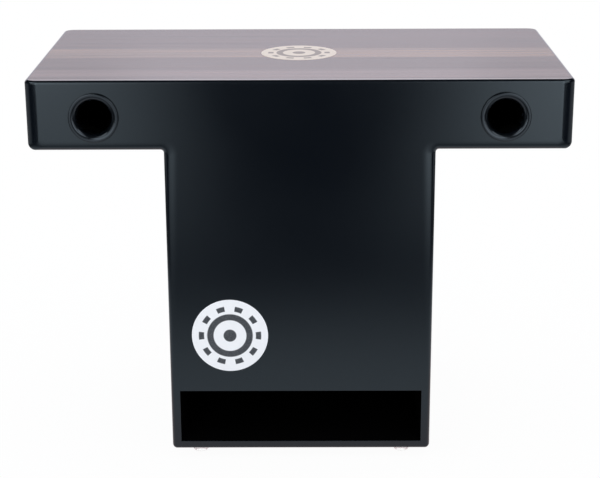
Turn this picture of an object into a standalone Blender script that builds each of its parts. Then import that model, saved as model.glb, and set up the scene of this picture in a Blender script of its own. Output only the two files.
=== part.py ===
# Slap-top lap cajon: a T-shaped box drum. The wooden playing surface closes the top, a round
# bass-reflex port opens in the front of each wing, and a wide slot opens at the foot of the stem.
# Metres. X runs to the right, Y away from the front, Z up. The origin is on the ground, under the
# middle of the box.
import math

import bmesh
import bpy

# Box
STEM_WIDTH = 0.250
STEM_HEIGHT = 0.2999
WING_LENGTH = 0.125
BODY_DEPTH = 0.263
WALL = 0.009
TOP_THICKNESS = 0.004
JOINT_GAP = 0.0003

# Routed edges of the box
END_ROUND = 0.010
EDGE_ROUND = 0.006
TOP_ROUND = 0.0030
INNER_ROUND = 0.0025
ROUND_SEGMENTS = 5
TOP_SEGMENTS = 4

# Bass slot at the foot of the front panel
SLOT_HEIGHT = 0.0524

# Port tubes
PORT_BORE_RADIUS = 0.0156
PORT_WALL = 0.0025
PORT_LENGTH = 0.070
PORT_INSET = 0.0624
PORT_ROOM_ABOVE = 0.0028
PORT_ROOM_BELOW = 0.0041
FLANGE_OVERHANG = 0.0052
FLANGE_SHOULDER = 0.0019
FLANGE_PROUD = 0.0025
FLANGE_EDGE = 0.0014
FLARE_DEPTH = 0.004
ROUND_STEPS = 40
CURVE_POINTS = 6

# Battens under the playing surface, and cleats that tie each wing floor to the stem
RIM_HEIGHT = 0.009
RIM_WIDTH = 0.012
CLEAT_WIDTH = 0.024
CLEAT_HEIGHT = 0.010

# Snare sets
SNARE_BAR_WIDTH = 0.018
SNARE_BAR_HEIGHT = 0.012
SNARE_COUNT = 12
SNARE_PITCH = 0.005
SNARE_WIRE_RADIUS = 0.0011
SNARE_WIRE_SIDES = 8
SNARE_PLATE_WIDTH = 0.012
SNARE_PLATE_THICKNESS = 0.001
SNARE_PLATE_EAR = 0.012
SOLDER_DEPTH = 0.0003
SNARE_END_ROOM = 0.010
SCREW_HEAD_RADIUS = 0.003
SCREW_HEAD_HEIGHT = 0.0018
SCREW_SHANK_RADIUS = 0.0014
SCREW_LENGTH = 0.010
SCREW_STEPS = 16

# Bumper feet
FOOT_RADIUS = 0.0085
FOOT_HEIGHT = 0.0086
FOOT_CONTACT_RADIUS = 0.003
FOOT_FRONT_MARGIN = 0.0055
FOOT_SIDE_MARGIN = 0.012
FOOT_STEPS = 24

# Room that a cutter reaches past what it cuts
CUT_MARGIN = 0.020
MERGE_DISTANCE = 0.00001

# Worked out from the values above
TUBE_RADIUS = PORT_BORE_RADIUS + PORT_WALL
FLANGE_RADIUS = TUBE_RADIUS + FLANGE_OVERHANG
FLANGE_CREST = FLANGE_RADIUS - FLANGE_SHOULDER
STEM_HALF = STEM_WIDTH / 2
BODY_HALF = STEM_HALF + WING_LENGTH
DEPTH_HALF = BODY_DEPTH / 2
WING_HEIGHT = (TOP_THICKNESS + JOINT_GAP + RIM_HEIGHT + PORT_ROOM_ABOVE + 2 * TUBE_RADIUS
               + PORT_ROOM_BELOW + WALL)
STEM_BOTTOM = FOOT_HEIGHT
FLOOR_TOP = STEM_BOTTOM + WALL
WING_BOTTOM = STEM_BOTTOM + STEM_HEIGHT
WING_FLOOR_TOP = WING_BOTTOM + WALL
TOP = WING_BOTTOM + WING_HEIGHT
UNDERSIDE = TOP - TOP_THICKNESS
PANEL_TOP = UNDERSIDE - JOINT_GAP
INNER_DEPTH = DEPTH_HALF - WALL - JOINT_GAP
PORT_X = BODY_HALF - PORT_INSET
PORT_Z = WING_FLOOR_TOP + PORT_ROOM_BELOW + TUBE_RADIUS
RIM_BOTTOM = PANEL_TOP - RIM_HEIGHT
RIM_INNER = INNER_DEPTH - RIM_WIDTH
SNARE_PLATE_TOP = UNDERSIDE - JOINT_GAP - 2 * SNARE_WIRE_RADIUS + SOLDER_DEPTH
SNARE_BAR_TOP = SNARE_PLATE_TOP - SNARE_PLATE_THICKNESS - JOINT_GAP
SNARE_BAR_X = STEM_HALF - WALL + SNARE_BAR_WIDTH / 2
SNARE_FIELD = (SNARE_COUNT - 1) * SNARE_PITCH + 2 * SNARE_WIRE_RADIUS
SCREW_Y = SNARE_FIELD / 2 + SNARE_PLATE_EAR / 2
FOOT_X = STEM_HALF - EDGE_ROUND - FOOT_SIDE_MARGIN - FOOT_RADIUS
FOOT_Y = DEPTH_HALF - EDGE_ROUND - FOOT_FRONT_MARGIN - FOOT_RADIUS

SIDES = {"left": -1, "right": 1}
ENDS = {"front": -1, "back": 1}


def clear_scene():
    for item in list(bpy.data.objects):
        bpy.data.objects.remove(item, do_unlink=True)


def new_collection(name):
    collection = bpy.data.collections.new(name)
    bpy.context.scene.collection.children.link(collection)
    return collection


def new_material(name, color, roughness, metallic=0.0, transmission=0.0):
    material = bpy.data.materials.new(name)
    material.use_nodes = True
    material.diffuse_color = (*color, 1.0)
    shader = material.node_tree.nodes["Principled BSDF"]
    shader.inputs["Base Color"].default_value = (*color, 1.0)
    shader.inputs["Roughness"].default_value = roughness
    shader.inputs["Metallic"].default_value = metallic
    shader.inputs["Transmission Weight"].default_value = transmission
    return material


clear_scene()
PARTS = new_collection("slap_top_cajon")
CUTTERS = new_collection("slap_top_cajon_cutters")
ORIGIN = bpy.data.objects.new("slap_top_cajon_origin", None)
PARTS.objects.link(ORIGIN)

BLACK_LACQUER = new_material("black_lacquered_board", (0.006, 0.007, 0.009), 0.35)
WALNUT = new_material("walnut_veneer", (0.115, 0.066, 0.047), 0.40)
BLACK_PLASTIC = new_material("black_moulded_plastic", (0.010, 0.010, 0.011), 0.30)
SPRUCE = new_material("spruce_batten", (0.55, 0.40, 0.24), 0.70)
STEEL = new_material("snare_steel", (0.60, 0.60, 0.61), 0.30, metallic=1.0)
CLEAR_RUBBER = new_material("clear_bumper", (0.90, 0.91, 0.92), 0.10, transmission=1.0)


def add_object(name, mesh, material=None, location=(0, 0, 0)):
    # A piece with a material is a part of the drum, and one without is a cutter.
    item = bpy.data.objects.new(name, mesh)
    item.location = location
    if material:
        mesh.materials.append(material)
        PARTS.objects.link(item)
        item.parent = ORIGIN
    else:
        CUTTERS.objects.link(item)
        item.hide_render = True
        item.display_type = "WIRE"
    return item


def mesh_from(shape, name):
    mesh = bpy.data.meshes.new(name)
    shape.to_mesh(mesh)
    shape.free()
    return mesh


def box(name, low, high, material=None):
    # A block between two corners, with its object at the block's middle.
    size = [top - bottom for bottom, top in zip(low, high)]
    middle = [(top + bottom) / 2 for bottom, top in zip(low, high)]
    shape = bmesh.new()
    bmesh.ops.create_cube(shape, size=1.0)
    bmesh.ops.scale(shape, vec=size, verts=shape.verts)
    return add_object(name, mesh_from(shape, name), material, middle)


def side_box(name, side, near, far, depth, bottom, top, material=None):
    # A block on the left or right, given by its distances from the middle of the drum.
    low_x, high_x = sorted((side * near, side * far))
    return box(name, (low_x, depth[0], bottom), (high_x, depth[1], top), material)


def rod(name, radius, length, steps, material=None):
    # A round bar along Z, from its origin up.
    shape = bmesh.new()
    bmesh.ops.create_cone(shape, cap_ends=True, segments=steps, depth=length,
                          radius1=radius, radius2=radius)
    bmesh.ops.translate(shape, vec=(0, 0, length / 2), verts=shape.verts)
    return add_object(name, mesh_from(shape, name), material)


def turned(name, profile, steps, closed, material=None):
    # A profile of (radius, height) points, turned about Z.
    shape = bmesh.new()
    corners = [shape.verts.new((radius, 0, height)) for radius, height in profile]
    for start, end in zip(corners, corners[1:]):
        shape.edges.new((start, end))
    if closed:
        shape.edges.new((corners[-1], corners[0]))
    item = add_object(name, mesh_from(shape, name), material)
    screw = item.modifiers.new("Turn", "SCREW")
    screw.steps = steps
    screw.render_steps = steps
    screw.use_merge_vertices = True
    screw.merge_threshold = MERGE_DISTANCE
    screw.use_smooth_shade = True
    return item


def boolean(item, other, operation="DIFFERENCE"):
    modifier = item.modifiers.new(operation.title(), "BOOLEAN")
    modifier.operation = operation
    modifier.object = other
    modifier.solver = "EXACT"


def quarter(center, reach, start, end):
    # Points on a quarter of an ellipse, between two angles in degrees.
    points = []
    for step in range(CURVE_POINTS + 1):
        angle = math.radians(start + (end - start) * step / CURVE_POINTS)
        points.append((center[0] + reach[0] * math.cos(angle), center[1] + reach[1] * math.sin(angle)))
    return points


def edge_radius(edge):
    # The routed radius of an edge of the raw T block, by where the edge lies. The plate closes its top.
    start, end = (corner.co for corner in edge.verts)
    middle = (start + end) / 2
    along_depth = abs(start.y - end.y) > MERGE_DISTANCE
    at_wing_end = abs(middle.x) > BODY_HALF - MERGE_DISTANCE
    under_wing = abs(middle.z - WING_BOTTOM) < MERGE_DISTANCE
    if middle.z > TOP - MERGE_DISTANCE:
        return 0
    if along_depth and under_wing and not at_wing_end:
        return INNER_ROUND
    if at_wing_end and not along_depth:
        return END_ROUND
    return EDGE_ROUND


def body_form():
    # The outside of the whole box: the T outline drawn out over the depth, with its edges routed.
    right = [(STEM_HALF, STEM_BOTTOM), (STEM_HALF, WING_BOTTOM), (BODY_HALF, WING_BOTTOM), (BODY_HALF, TOP)]
    outline = right + [(-x, z) for x, z in reversed(right)]
    shape = bmesh.new()
    front = shape.faces.new([shape.verts.new((x, -DEPTH_HALF, z)) for x, z in outline])
    drawn = bmesh.ops.extrude_face_region(shape, geom=[front])
    moved = [piece for piece in drawn["geom"] if isinstance(piece, bmesh.types.BMVert)]
    bmesh.ops.translate(shape, vec=(0, BODY_DEPTH, 0), verts=moved)
    bmesh.ops.recalc_face_normals(shape, faces=shape.faces)
    widest = max(END_ROUND, EDGE_ROUND, INNER_ROUND)
    weight = shape.edges.layers.float.new("bevel_weight_edge")
    for edge in shape.edges:
        edge[weight] = edge_radius(edge) / widest
    item = add_object("body_form", mesh_from(shape, "body_form"))
    routed = item.modifiers.new("Routed edges", "BEVEL")
    routed.limit_method = "WEIGHT"
    routed.width = widest
    routed.segments = ROUND_SEGMENTS
    routed.use_clamp_overlap = False
    return item


def playing_surface():
    # A plate whose plan corners are flush with the wing ends' routed edges, eased round its upper edge.
    shape = bmesh.new()
    bmesh.ops.create_cube(shape, size=1.0)
    bmesh.ops.scale(shape, vec=(2 * BODY_HALF, BODY_DEPTH, TOP_THICKNESS), verts=shape.verts)
    upright = [edge for edge in shape.edges if edge.verts[0].co.z * edge.verts[1].co.z < 0]
    bmesh.ops.bevel(shape, geom=upright, offset=END_ROUND, segments=ROUND_SEGMENTS, profile=0.5,
                    affect="EDGES")
    upper = [edge for edge in shape.edges if all(corner.co.z > 0 for corner in edge.verts)]
    bmesh.ops.bevel(shape, geom=upper, offset=TOP_ROUND, segments=TOP_SEGMENTS, profile=0.5,
                    affect="EDGES")
    middle = TOP - TOP_THICKNESS / 2
    add_object("playing_surface", mesh_from(shape, "playing_surface"), WALNUT, (0, 0, middle))


def open_front(front_panel):
    # The bass slot, level with the insides of the stem, and a hole for each port tube.
    half = STEM_HALF - WALL
    low_y = -DEPTH_HALF - CUT_MARGIN
    high_y = -DEPTH_HALF + WALL + CUT_MARGIN
    slot = box("slot_cutter", (-half, low_y, FLOOR_TOP), (half, high_y, FLOOR_TOP + SLOT_HEIGHT))
    boolean(front_panel, slot)
    for name, side in SIDES.items():
        hole = rod(f"{name}_port_cutter", TUBE_RADIUS + JOINT_GAP, high_y - low_y, ROUND_STEPS)
        hole.rotation_euler.x = math.radians(90)
        hole.location = (side * PORT_X, high_y, PORT_Z)
        boolean(front_panel, hole)


def panels():
    # Each board is a slab of the routed outside form. The front slab gets its openings first.
    form = body_form()
    wide = BODY_HALF + CUT_MARGIN
    deep = DEPTH_HALF + CUT_MARGIN
    inner = (-INNER_DEPTH, INNER_DEPTH)
    boards = []
    for end, way in ENDS.items():
        low_y, high_y = sorted((way * (DEPTH_HALF - WALL), way * deep))
        low = (-wide, low_y, STEM_BOTTOM - CUT_MARGIN)
        boards.append(box(f"{end}_panel", low, (wide, high_y, PANEL_TOP), BLACK_LACQUER))
    open_front(boards[0])
    for name, side in SIDES.items():
        boards.append(side_box(f"{name}_wing_end", side, BODY_HALF - WALL, wide, inner,
                               WING_BOTTOM - CUT_MARGIN, PANEL_TOP, BLACK_LACQUER))
        boards.append(side_box(f"{name}_wing_floor", side, STEM_HALF + JOINT_GAP,
                               BODY_HALF - WALL - JOINT_GAP, inner, WING_BOTTOM, WING_FLOOR_TOP,
                               BLACK_LACQUER))
        boards.append(side_box(f"{name}_stem_side", side, STEM_HALF - WALL, STEM_HALF, inner,
                               STEM_BOTTOM - CUT_MARGIN, WING_FLOOR_TOP, BLACK_LACQUER))
    floor_half = STEM_HALF - WALL - JOINT_GAP
    boards.append(box("stem_floor", (-floor_half, -INNER_DEPTH, STEM_BOTTOM - CUT_MARGIN),
                      (floor_half, INNER_DEPTH, FLOOR_TOP), BLACK_LACQUER))
    for board in boards:
        boolean(board, form, "INTERSECT")


def port_tubes():
    # A moulded tube: a flange with a round shoulder stands proud of the panel, and from its crest the
    # mouth flares into the bore.
    flange = quarter((FLANGE_CREST, FLANGE_EDGE), (FLANGE_SHOULDER, FLANGE_PROUD - FLANGE_EDGE), 90, 0)
    flare = quarter((FLANGE_CREST, -FLARE_DEPTH),
                    (PORT_BORE_RADIUS - FLANGE_CREST, FLANGE_PROUD + FLARE_DEPTH), 0, 90)
    wall = [(FLANGE_RADIUS, JOINT_GAP), (TUBE_RADIUS, JOINT_GAP), (TUBE_RADIUS, -PORT_LENGTH),
            (PORT_BORE_RADIUS, -PORT_LENGTH)]
    for name, side in SIDES.items():
        tube = turned(f"{name}_port_tube", flange + wall + flare[:-1], ROUND_STEPS, True, BLACK_PLASTIC)
        tube.rotation_euler.x = math.radians(90)
        tube.location = (side * PORT_X, -DEPTH_HALF, PORT_Z)


def rim_and_cleats():
    # Battens that widen the glue seat of the playing surface, and a cleat across each joint of wing
    # and stem.
    reach = BODY_HALF - WALL - JOINT_GAP
    for end, way in ENDS.items():
        low_y, high_y = sorted((way * RIM_INNER, way * INNER_DEPTH))
        box(f"{end}_rim_batten", (-reach, low_y, RIM_BOTTOM), (reach, high_y, PANEL_TOP), SPRUCE)
    between = (-RIM_INNER + JOINT_GAP, RIM_INNER - JOINT_GAP)
    inner = (-INNER_DEPTH, INNER_DEPTH)
    cleat_near = STEM_HALF - WALL
    cleat_bottom = WING_FLOOR_TOP + JOINT_GAP
    for name, side in SIDES.items():
        side_box(f"{name}_rim_batten", side, reach - RIM_WIDTH, reach, between,
                 RIM_BOTTOM, PANEL_TOP, SPRUCE)
        side_box(f"{name}_joint_cleat", side, cleat_near, cleat_near + CLEAT_WIDTH, inner,
                 cleat_bottom, cleat_bottom + CLEAT_HEIGHT, SPRUCE)


def screw_profile(clearance, head_top):
    # A countersunk screw from its head down, grown by a clearance for its own hole.
    return [
        (0, head_top), (SCREW_HEAD_RADIUS + clearance, head_top), (SCREW_HEAD_RADIUS + clearance, 0),
        (SCREW_SHANK_RADIUS + clearance, -SCREW_HEAD_HEIGHT),
        (SCREW_SHANK_RADIUS + clearance, -SCREW_LENGTH - clearance), (0, -SCREW_LENGTH - clearance),
    ]


def snare_wires(name, side):
    # A row of straight wires just under the playing surface, soldered to an end plate.
    plate_half = SNARE_FIELD / 2 + SNARE_PLATE_EAR
    plate = side_box(f"{name}_snare_wires", side, SNARE_BAR_X - SNARE_PLATE_WIDTH / 2,
                     SNARE_BAR_X + SNARE_PLATE_WIDTH / 2, (-plate_half, plate_half),
                     SNARE_PLATE_TOP - SNARE_PLATE_THICKNESS, SNARE_PLATE_TOP, STEEL)
    end_x = BODY_HALF - WALL - JOINT_GAP - RIM_WIDTH - SNARE_END_ROOM
    length = end_x - SNARE_BAR_X
    for number in range(SNARE_COUNT):
        wire = rod(f"{name}_snare_rod_{number + 1}", SNARE_WIRE_RADIUS, length, SNARE_WIRE_SIDES)
        wire.rotation_euler.y = side * math.radians(90)
        wire.location.x = side * SNARE_BAR_X
        wire.location.y = (number - (SNARE_COUNT - 1) / 2) * SNARE_PITCH
        wire.location.z = UNDERSIDE - JOINT_GAP - SNARE_WIRE_RADIUS
        boolean(plate, wire, "UNION")
    return plate


def snares():
    # In each wing a bar runs between the rim battens and carries a snare set on two screws.
    between = (-RIM_INNER + JOINT_GAP, RIM_INNER - JOINT_GAP)
    for name, side in SIDES.items():
        bar = side_box(f"{name}_snare_bar", side, SNARE_BAR_X - SNARE_BAR_WIDTH / 2,
                       SNARE_BAR_X + SNARE_BAR_WIDTH / 2, between,
                       SNARE_BAR_TOP - SNARE_BAR_HEIGHT, SNARE_BAR_TOP, SPRUCE)
        wires = snare_wires(name, side)
        for end, way in ENDS.items():
            place = (side * SNARE_BAR_X, way * SCREW_Y, SNARE_PLATE_TOP)
            screw = turned(f"{name}_{end}_snare_screw", screw_profile(0, 0), SCREW_STEPS, False, STEEL)
            screw.location = place
            hole = turned(f"{name}_{end}_screw_cutter", screw_profile(JOINT_GAP, CUT_MARGIN),
                          SCREW_STEPS, False)
            hole.location = place
            boolean(wires, hole)
            boolean(bar, hole)


def feet():
    # Clear domed bumpers under the stem, flat where they stand.
    contact = math.degrees(math.acos(FOOT_CONTACT_RADIUS / FOOT_RADIUS))
    top = FOOT_HEIGHT - JOINT_GAP
    drop = top / math.sin(math.radians(contact))
    dome = quarter((0, top), (FOOT_RADIUS, -drop), 0, contact)
    for end, way in ENDS.items():
        for name, side in SIDES.items():
            foot = turned(f"{end}_{name}_foot", [(0, top)] + dome + [(0, 0)], FOOT_STEPS, False,
                          CLEAR_RUBBER)
            foot.location = (side * FOOT_X, way * FOOT_Y, 0)


playing_surface()
panels()
port_tubes()
rim_and_cleats()
snares()
feet()
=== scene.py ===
import math

import bmesh
import bpy
import numpy as np
from mathutils import Matrix, Vector
from mathutils.geometry import delaunay_2d_cdt


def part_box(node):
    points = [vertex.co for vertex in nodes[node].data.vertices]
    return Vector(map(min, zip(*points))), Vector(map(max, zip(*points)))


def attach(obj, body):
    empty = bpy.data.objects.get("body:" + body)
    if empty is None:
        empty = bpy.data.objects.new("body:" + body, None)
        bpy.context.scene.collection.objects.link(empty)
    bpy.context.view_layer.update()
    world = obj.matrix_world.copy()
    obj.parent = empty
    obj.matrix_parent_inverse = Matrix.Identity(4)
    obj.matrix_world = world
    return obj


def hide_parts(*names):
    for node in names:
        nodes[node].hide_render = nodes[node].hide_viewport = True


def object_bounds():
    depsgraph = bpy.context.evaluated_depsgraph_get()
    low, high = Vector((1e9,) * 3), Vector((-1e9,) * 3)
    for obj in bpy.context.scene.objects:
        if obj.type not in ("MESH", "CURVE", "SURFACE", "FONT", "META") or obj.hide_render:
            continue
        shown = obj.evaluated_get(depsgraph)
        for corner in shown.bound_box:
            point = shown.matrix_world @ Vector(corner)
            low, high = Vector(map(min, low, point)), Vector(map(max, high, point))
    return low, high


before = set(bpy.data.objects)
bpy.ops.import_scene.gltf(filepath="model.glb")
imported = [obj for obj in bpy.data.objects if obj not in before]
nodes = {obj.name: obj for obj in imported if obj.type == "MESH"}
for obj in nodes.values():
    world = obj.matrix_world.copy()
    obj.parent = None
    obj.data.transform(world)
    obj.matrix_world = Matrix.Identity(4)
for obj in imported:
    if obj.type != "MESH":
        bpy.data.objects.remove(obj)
cadLow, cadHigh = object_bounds()  # the CAD box, before anything is dressed
print("frame:", len(nodes), "nodes, box", [round(v, 4) for v in cadHigh - cadLow])

# Main levels, read from the CAD boards
boardLow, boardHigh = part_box("front_panel")
depthHalf, stemBottom, carcassTop = -boardLow.y, boardLow.z, boardHigh.z
wall = boardHigh.y - boardLow.y
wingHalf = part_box("right_wing_end")[1].x
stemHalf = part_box("right_stem_side")[1].x
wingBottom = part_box("right_wing_floor")[0].z
portLow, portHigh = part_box("right_port_tube")
portX, portZ = (portLow.x + portHigh.x) / 2, (portLow.z + portHigh.z) / 2

noiseSpan = {"From Min": 0.3, "From Max": 0.7}  # most values of a noise texture lie between these


def linear(code):
    # sRGB hex to linear light: c/12.92 in the toe, ((c + 0.055)/1.055)^2.4 above it
    srgb = np.array([int(code[k:k + 2], 16) for k in (1, 3, 5)]) / 255
    light = np.where(srgb <= 0.04045, srgb / 12.92, ((srgb + 0.055) / 1.055) ** 2.4)
    return (*light.tolist(), 1.0)


def addNode(tree, kind, values=None, links=None, **settings):
    # one shader node: settings on the node, values on its sockets, links from other nodes' outputs
    made = tree.nodes.new(kind)
    for key, value in settings.items():
        setattr(made, key, value)
    for key, value in (values or {}).items():
        made.inputs[key].default_value = value
    for key, source in (links or {}).items():
        tree.links.new(source, made.inputs[key])
    return made


def newFinish(name):
    # an empty material, its node tree and the socket that takes its shader
    finish = bpy.data.materials.new(name)
    finish.use_nodes = True
    tree = finish.node_tree
    tree.nodes.clear()
    return finish, tree, addNode(tree, "ShaderNodeOutputMaterial").inputs["Surface"]


def setRamp(ramp, stops):
    # stops are (place, linear colour); the two that a ramp starts with are reused
    elements = ramp.color_ramp.elements
    for place, colour in stops[2:]:
        elements.new(place)
    for element, (place, colour) in zip(elements, sorted(stops)):
        element.position = place
        element.color = colour


def satinBlackLacquer():
    # Satin lacquer sprayed on sanded board: near black, with broad cool reflections and a faint orange peel.
    look = {"colour": "#0a0e14", "tint": "#e4f7ff", "ior": 1.6, "roughFrom": 0.13, "roughTo": 0.16,
            "cloudMm": 60, "peelMm": 2.4, "peelHeightMm": 0.006}
    finish, tree, surface = newFinish("satinBlackLacquer")
    place = addNode(tree, "ShaderNodeTexCoord").outputs["Object"]
    cloud = addNode(tree, "ShaderNodeTexNoise", {"Scale": 1000 / look["cloudMm"], "Detail": 3.0},
                    {"Vector": place})
    rough = addNode(tree, "ShaderNodeMapRange",
                    {**noiseSpan, "To Min": look["roughFrom"], "To Max": look["roughTo"]},
                    {"Value": cloud.outputs["Fac"]})
    peel = addNode(tree, "ShaderNodeTexNoise", {"Scale": 1000 / look["peelMm"], "Detail": 1.0},
                   {"Vector": place})
    bump = addNode(tree, "ShaderNodeBump", {"Strength": 1.0, "Distance": look["peelHeightMm"] / 1000},
                   {"Height": peel.outputs["Fac"]})
    skin = addNode(tree, "ShaderNodeBsdfPrincipled",
                   {"Base Color": linear(look["colour"]), "IOR": look["ior"],
                    "Specular Tint": linear(look["tint"])},
                   {"Roughness": rough.outputs["Result"], "Normal": bump.outputs["Normal"]})
    tree.links.new(skin.outputs[0], surface)
    return finish


def mattBlackInside():
    # Matt black on the inside of the boards: it gives back almost no light.
    look = {"colour": "#030303", "specular": 0.02, "rough": 0.9, "grainMm": 0.8, "grainHeightMm": 0.05}
    finish, tree, surface = newFinish("mattBlackInside")
    place = addNode(tree, "ShaderNodeTexCoord").outputs["Object"]
    grain = addNode(tree, "ShaderNodeTexNoise", {"Scale": 1000 / look["grainMm"], "Detail": 2.0},
                    {"Vector": place})
    bump = addNode(tree, "ShaderNodeBump", {"Strength": 0.5, "Distance": look["grainHeightMm"] / 1000},
                   {"Height": grain.outputs["Fac"]})
    skin = addNode(tree, "ShaderNodeBsdfPrincipled",
                   {"Base Color": linear(look["colour"]), "Roughness": look["rough"],
                    "Specular IOR Level": look["specular"]}, {"Normal": bump.outputs["Normal"]})
    tree.links.new(skin.outputs[0], surface)
    return finish


def walnutVeneer():
    # Striped walnut veneer under satin lacquer: dark leaves with paler sapwood bands, straight grain along
    # the wings and short dark pores.
    look = {"dark": "#4f3934", "band": "#7a6052", "front": "#695350", "edge": "#827876",
            # leaves from the front edge of the plate to the back one; the first, lighter edge strip is a
            # painted highlight along the front edge
            "leaves": ((0.0, "edge"), (0.03, "edge"), (0.04, "dark"), (0.06, "dark"), (0.07, "front"),
                       (0.17, "front"), (0.20, "dark"), (0.405, "dark"), (0.425, "band"), (0.57, "band"),
                       (0.59, "dark"), (1.0, "dark")),
            "wanderMm": 3, "figure": 0.40, "figureMm": 6, "figureLongMm": 320,
            "streak": 0.35, "streakFrom": 0.25, "streakTo": 0.75, "streakMm": 1.6, "streakLongMm": 160,
            "poreFrom": 0.62, "poreTo": 0.70, "poreShade": 0.45, "poreMm": 0.5, "poreLongMm": 6,
            "poreDepthMm": 0.03, "roughFrom": 0.15, "roughTo": 0.23, "ior": 1.55}
    finish, tree, surface = newFinish("walnutVeneer")
    place = addNode(tree, "ShaderNodeTexCoord").outputs["Object"]

    def alongGrain(acrossMm, longMm, detail):
        # noise drawn out along X: one feature is longMm by acrossMm
        stretch = addNode(tree, "ShaderNodeMapping", {"Scale": (1000 / longMm, 1000 / acrossMm, 1.0)},
                          {"Vector": place})
        return addNode(tree, "ShaderNodeTexNoise", {"Scale": 1.0, "Detail": detail, "Roughness": 0.6},
                       {"Vector": stretch.outputs["Vector"]})

    figure = alongGrain(look["figureMm"], look["figureLongMm"], 3.0)
    streak = alongGrain(look["streakMm"], look["streakLongMm"], 4.0)
    pore = alongGrain(look["poreMm"], look["poreLongMm"], 1.0)

    # Leaves by depth, with borders that wander a little
    split = addNode(tree, "ShaderNodeSeparateXYZ", links={"Vector": place})
    wander = addNode(tree, "ShaderNodeMapRange",
                     {**noiseSpan, "To Min": -look["wanderMm"] / 1000, "To Max": look["wanderMm"] / 1000},
                     {"Value": figure.outputs["Fac"]})
    depth = addNode(tree, "ShaderNodeMath", links={0: split.outputs["Y"], 1: wander.outputs["Result"]},
                    operation="ADD")
    across = addNode(tree, "ShaderNodeMapRange", {"From Min": -depthHalf, "From Max": depthHalf},
                     {"Value": depth.outputs[0]})
    leaves = addNode(tree, "ShaderNodeValToRGB", links={"Fac": across.outputs["Result"]})
    setRamp(leaves, [(share, linear(look[key])) for share, key in look["leaves"]])

    # Their tone: streaks, pores and a broad figure
    tone = addNode(tree, "ShaderNodeMapRange",
                   {"From Min": look["streakFrom"], "From Max": look["streakTo"],
                    "To Min": 1 - look["streak"], "To Max": 1 + look["streak"]},
                   {"Value": streak.outputs["Fac"]})
    holes = addNode(tree, "ShaderNodeMapRange",
                    {"From Min": look["poreFrom"], "From Max": look["poreTo"],
                     "To Min": 1.0, "To Max": look["poreShade"]},
                    {"Value": pore.outputs["Fac"]})
    broad = addNode(tree, "ShaderNodeMapRange",
                    {**noiseSpan, "To Min": 1 - look["figure"], "To Max": 1 + look["figure"]},
                    {"Value": figure.outputs["Fac"]})
    shade = addNode(tree, "ShaderNodeMath", links={0: tone.outputs["Result"], 1: holes.outputs["Result"]},
                    operation="MULTIPLY")
    shade = addNode(tree, "ShaderNodeMath", links={0: shade.outputs[0], 1: broad.outputs["Result"]},
                    operation="MULTIPLY")
    colour = addNode(tree, "ShaderNodeVectorMath",
                     links={0: leaves.outputs["Color"], "Scale": shade.outputs[0]}, operation="SCALE")
    rough = addNode(tree, "ShaderNodeMapRange",
                    {**noiseSpan, "To Min": look["roughFrom"], "To Max": look["roughTo"]},
                    {"Value": streak.outputs["Fac"]})
    bump = addNode(tree, "ShaderNodeBump", {"Strength": 0.6, "Distance": look["poreDepthMm"] / 1000},
                   {"Height": holes.outputs["Result"]})
    skin = addNode(tree, "ShaderNodeBsdfPrincipled", {"IOR": look["ior"]},
                   {"Base Color": colour.outputs[0], "Roughness": rough.outputs["Result"],
                    "Normal": bump.outputs["Normal"]})
    tree.links.new(skin.outputs[0], surface)
    return finish


def mouldedBlackPlastic():
    # Injection-moulded ABS, half gloss, with a fine spark-eroded texture, drawn coarser than the real one.
    look = {"colour": "#080b0f", "tint": "#e4f4ff", "ior": 1.59, "roughFrom": 0.15, "roughTo": 0.21,
            "sparkMm": 0.5, "sparkHeightMm": 0.004}
    finish, tree, surface = newFinish("mouldedBlackPlastic")
    place = addNode(tree, "ShaderNodeTexCoord").outputs["Object"]
    spark = addNode(tree, "ShaderNodeTexNoise", {"Scale": 1000 / look["sparkMm"], "Detail": 1.0},
                    {"Vector": place})
    bump = addNode(tree, "ShaderNodeBump", {"Strength": 1.0, "Distance": look["sparkHeightMm"] / 1000},
                   {"Height": spark.outputs["Fac"]})
    rough = addNode(tree, "ShaderNodeMapRange",
                    {**noiseSpan, "To Min": look["roughFrom"], "To Max": look["roughTo"]},
                    {"Value": spark.outputs["Fac"]})
    skin = addNode(tree, "ShaderNodeBsdfPrincipled",
                   {"Base Color": linear(look["colour"]), "IOR": look["ior"],
                    "Specular Tint": linear(look["tint"])},
                   {"Roughness": rough.outputs["Result"], "Normal": bump.outputs["Normal"]})
    tree.links.new(skin.outputs[0], surface)
    return finish


def clearPolyurethane():
    # Cast clear polyurethane with a little dust on it: a pale dome with a thin grey outline.
    look = {"colour": "#fcfdfd", "ior": 1.22, "clear": 0.98, "roughFrom": 0.01, "roughTo": 0.09,
            "dustFrom": 0.35, "dustTo": 0.7, "dustMm": 1.5}
    finish, tree, surface = newFinish("clearPolyurethane")
    place = addNode(tree, "ShaderNodeTexCoord").outputs["Object"]
    dust = addNode(tree, "ShaderNodeTexNoise", {"Scale": 1000 / look["dustMm"], "Detail": 2.0},
                   {"Vector": place})
    rough = addNode(tree, "ShaderNodeMapRange",
                    {"From Min": look["dustFrom"], "From Max": look["dustTo"],
                     "To Min": look["roughFrom"], "To Max": look["roughTo"]},
                    {"Value": dust.outputs["Fac"]})
    skin = addNode(tree, "ShaderNodeBsdfPrincipled",
                   {"Base Color": linear(look["colour"]), "IOR": look["ior"],
                    "Transmission Weight": look["clear"]},
                   {"Roughness": rough.outputs["Result"]})
    tree.links.new(skin.outputs[0], surface)
    return finish


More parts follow.
